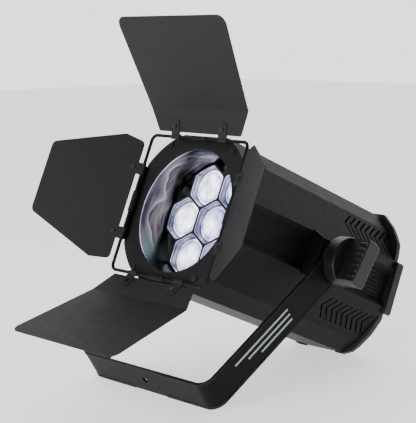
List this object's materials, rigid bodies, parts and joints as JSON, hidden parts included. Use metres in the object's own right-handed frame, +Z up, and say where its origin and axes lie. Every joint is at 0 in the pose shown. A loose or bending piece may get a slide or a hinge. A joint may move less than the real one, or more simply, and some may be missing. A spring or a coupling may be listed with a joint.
{
  "type": "zoom spotlight with barn doors",
  "caption": "Black stage spotlight with zooming hexagonal lenses behind a round ring plate, folding barn doors on a rod frame, a faceted vented housing and a U-shaped tilting yoke.",
  "frame": {"origin": "centre of the clamp hole, on the outer face of the yoke's base", "axes": "+Z up as the lamp stands on its yoke base and rear cap, +X along the tilt axis towards the lamp's left hand as one faces its lenses from the front, -Y the way the light points, which is 24 degrees up from it"},
  "size_m": [0.4249, 0.6075, 0.5219],
  "materials": {
    "yoke": "satin black powder coat",
    "yoke_bushes": "plain bronze",
    "ring_plate": "satin black powder coat",
    "ring_screws": "blackened steel",
    "door_rod_frame": "satin black powder coat",
    "front_bezel": "black painted casting",
    "top_housing": "satin black powder coat",
    "bottom_housing": "satin black powder coat",
    "left_side_panel": "satin black powder coat",
    "right_side_panel": "satin black powder coat",
    "left_pivot_boss": "black painted casting",
    "right_pivot_boss": "black painted casting",
    "pivot_studs": "bright steel",
    "friction_washers": "black rubber",
    "mirror_tube": "polished reflector sheet",
    "led_plate": "bare aluminium",
    "led_emitters": "white emitter",
    "mixing_optics": "clear moulded optic",
    "heat_sink": "bare aluminium",
    "fan_frame": "black moulding",
    "zoom_motors": "motor case",
    "guide_rods": "bright steel",
    "power_supply": "folded case",
    "control_board": "green board",
    "rear_cap": "black moulding",
    "control_panel": "printed overlay",
    "display_window": "dark display",
    "power_sockets": "socket moulding",
    "dmx_sockets": "socket moulding",
    "cap_screws": "blackened steel",
    "lens_carriage": "black moulding",
    "centre_lens": "clear moulded optic",
    "outer_lenses": "clear moulded optic",
    "carriage_bushes": "plain bronze",
    "zoom_screw_upper": "bright steel",
    "zoom_screw_lower": "bright steel",
    "fan_rotor": "black moulding",
    "top_leaf": "satin black powder coat",
    "top_leaf_hinges": "satin black powder coat",
    "top_leaf_screws": "blackened steel",
    "right_leaf": "satin black powder coat",
    "right_leaf_hinges": "satin black powder coat",
    "right_leaf_screws": "blackened steel",
    "bottom_leaf": "satin black powder coat",
    "bottom_leaf_hinges": "satin black powder coat",
    "bottom_leaf_screws": "blackened steel",
    "left_leaf": "satin black powder coat",
    "left_leaf_hinges": "satin black powder coat",
    "left_leaf_screws": "blackened steel",
    "right_knob_washer": "bright steel",
    "left_knob_washer": "bright steel",
    "right_knob": "black moulding",
    "left_knob": "black moulding",
    "menu_button_1": "grey key",
    "menu_button_2": "grey key",
    "menu_button_3": "grey key",
    "menu_button_4": "grey key"
  },
  "bodies": {
    "yoke": {"yoke": "yoke", "yoke_bushes": "yoke_bushes"},
    "head": {"ring_plate": "ring_plate", "ring_screws": "ring_screws", "door_rod_frame": "door_rod_frame", "front_bezel": "front_bezel", "top_housing": "top_housing", "bottom_housing": "bottom_housing", "left_side_panel": "left_side_panel", "right_side_panel": "right_side_panel", "left_pivot_boss": "left_pivot_boss", "right_pivot_boss": "right_pivot_boss", "pivot_studs": "pivot_studs", "friction_washers": "friction_washers", "mirror_tube": "mirror_tube", "led_plate": "led_plate", "led_emitters": "led_emitters", "mixing_optics": "mixing_optics", "heat_sink": "heat_sink", "fan_frame": "fan_frame", "zoom_motors": "zoom_motors", "guide_rods": "guide_rods", "power_supply": "power_supply", "control_board": "control_board", "rear_cap": "rear_cap", "control_panel": "control_panel", "display_window": "display_window", "power_sockets": "power_sockets", "dmx_sockets": "dmx_sockets", "cap_screws": "cap_screws"},
    "lens_carriage": {"lens_carriage": "lens_carriage", "centre_lens": "centre_lens", "outer_lenses": "outer_lenses", "carriage_bushes": "carriage_bushes"},
    "zoom_screw_upper": {"zoom_screw_upper": "zoom_screw_upper"},
    "zoom_screw_lower": {"zoom_screw_lower": "zoom_screw_lower"},
    "fan_rotor": {"fan_rotor": "fan_rotor"},
    "top_leaf": {"top_leaf": "top_leaf", "top_leaf_hinges": "top_leaf_hinges", "top_leaf_screws": "top_leaf_screws"},
    "right_leaf": {"right_leaf": "right_leaf", "right_leaf_hinges": "right_leaf_hinges", "right_leaf_screws": "right_leaf_screws"},
    "bottom_leaf": {"bottom_leaf": "bottom_leaf", "bottom_leaf_hinges": "bottom_leaf_hinges", "bottom_leaf_screws": "bottom_leaf_screws"},
    "left_leaf": {"left_leaf": "left_leaf", "left_leaf_hinges": "left_leaf_hinges", "left_leaf_screws": "left_leaf_screws"},
    "right_knob_washer": {"right_knob_washer": "right_knob_washer"},
    "left_knob_washer": {"left_knob_washer": "left_knob_washer"},
    "right_knob": {"right_knob": "right_knob"},
    "left_knob": {"left_knob": "left_knob"},
    "menu_button_1": {"menu_button_1": "menu_button_1"},
    "menu_button_2": {"menu_button_2": "menu_button_2"},
    "menu_button_3": {"menu_button_3": "menu_button_3"},
    "menu_button_4": {"menu_button_4": "menu_button_4"}
  },
  "joints": [
    {"name": "head_tilt", "type": "hinge", "parent": "yoke", "child": "head", "pos_m": [0, 0.24979, 0.15391], "axis": [1, 0, 0], "range_deg": [-244, 5]},
    {"name": "right_knob_travel", "type": "slide", "parent": "head", "child": "right_knob_washer", "axis": [1, 0, 0], "range_m": [0, 0.0018]},
    {"name": "right_knob_turn", "type": "hinge", "parent": "right_knob_washer", "child": "right_knob", "pos_m": [0.16, 0.24979, 0.15391], "axis": [1, 0, 0], "range_deg": [0, 360]},
    {"name": "left_knob_travel", "type": "slide", "parent": "head", "child": "left_knob_washer", "axis": [-1, 0, 0], "range_m": [0, 0.0018]},
    {"name": "left_knob_turn", "type": "hinge", "parent": "left_knob_washer", "child": "left_knob", "pos_m": [-0.16, 0.24979, 0.15391], "axis": [-1, 0, 0], "range_deg": [0, 360]},
    {"name": "top_leaf_hinge", "type": "hinge", "parent": "head", "child": "top_leaf", "pos_m": [0, 0.10715, 0.33017], "axis": [-1, 0, 0], "range_deg": [-64.1, 27.9]},
    {"name": "bottom_leaf_hinge", "type": "hinge", "parent": "head", "child": "bottom_leaf", "pos_m": [0, 0.02336, 0.14198], "axis": [1, 0, 0], "range_deg": [-60.8, 31.2]},
    {"name": "right_leaf_hinge", "type": "hinge", "parent": "head", "child": "right_leaf", "pos_m": [0.1, 0.06525, 0.23607], "axis": [0, 0.4067, 0.9135], "range_deg": [-98.6, 51.4]},
    {"name": "left_leaf_hinge", "type": "hinge", "parent": "head", "child": "left_leaf", "pos_m": [-0.1, 0.06525, 0.23607], "axis": [0, -0.4067, -0.9135], "range_deg": [-88.5, 61.5]},
    {"name": "zoom_travel", "type": "slide", "parent": "head", "child": "lens_carriage", "axis": [0, -0.9135, 0.4067], "range_m": [-0.028, 0]},
    {"name": "zoom_screw_upper_turn", "type": "hinge", "parent": "head", "child": "zoom_screw_upper", "pos_m": [0, 0.1926, 0.27132], "axis": [0, -0.9135, 0.4067], "range_deg": [-1012, 3]},
    {"name": "zoom_screw_lower_turn", "type": "hinge", "parent": "head", "child": "zoom_screw_lower", "pos_m": [0, 0.12427, 0.11785], "axis": [0, -0.9135, 0.4067], "range_deg": [-1012, 3]},
    {"name": "fan_spin", "type": "hinge", "parent": "head", "child": "fan_rotor", "pos_m": [0, 0.26075, 0.14903], "axis": [0, 0.9135, -0.4067], "continuous": true},
    {"name": "menu_button_1_press", "type": "slide", "parent": "head", "child": "menu_button_1", "axis": [0, -0.9135, 0.4067], "range_m": [0, 0.0012], "stiffness_N_per_m": 600, "springref_m": -0.001},
    {"name": "menu_button_2_press", "type": "slide", "parent": "head", "child": "menu_button_2", "axis": [0, -0.9135, 0.4067], "range_m": [0, 0.0012], "stiffness_N_per_m": 600, "springref_m": -0.001},
    {"name": "menu_button_3_press", "type": "slide", "parent": "head", "child": "menu_button_3", "axis": [0, -0.9135, 0.4067], "range_m": [0, 0.0012], "stiffness_N_per_m": 600, "springref_m": -0.001},
    {"name": "menu_button_4_press", "type": "slide", "parent": "head", "child": "menu_button_4", "axis": [0, -0.9135, 0.4067], "range_m": [0, 0.0012], "stiffness_N_per_m": 600, "springref_m": -0.001}
  ],
  "couplings": [
    {"joint": "right_knob_travel", "follows": "right_knob_turn", "m_per_rad": 0.00027852},
    {"joint": "left_knob_travel", "follows": "left_knob_turn", "m_per_rad": 0.00027852},
    {"joint": "zoom_screw_upper_turn", "follows": "zoom_travel", "rad_per_m": 628.32},
    {"joint": "zoom_screw_lower_turn", "follows": "zoom_travel", "rad_per_m": 628.32}
  ]
}
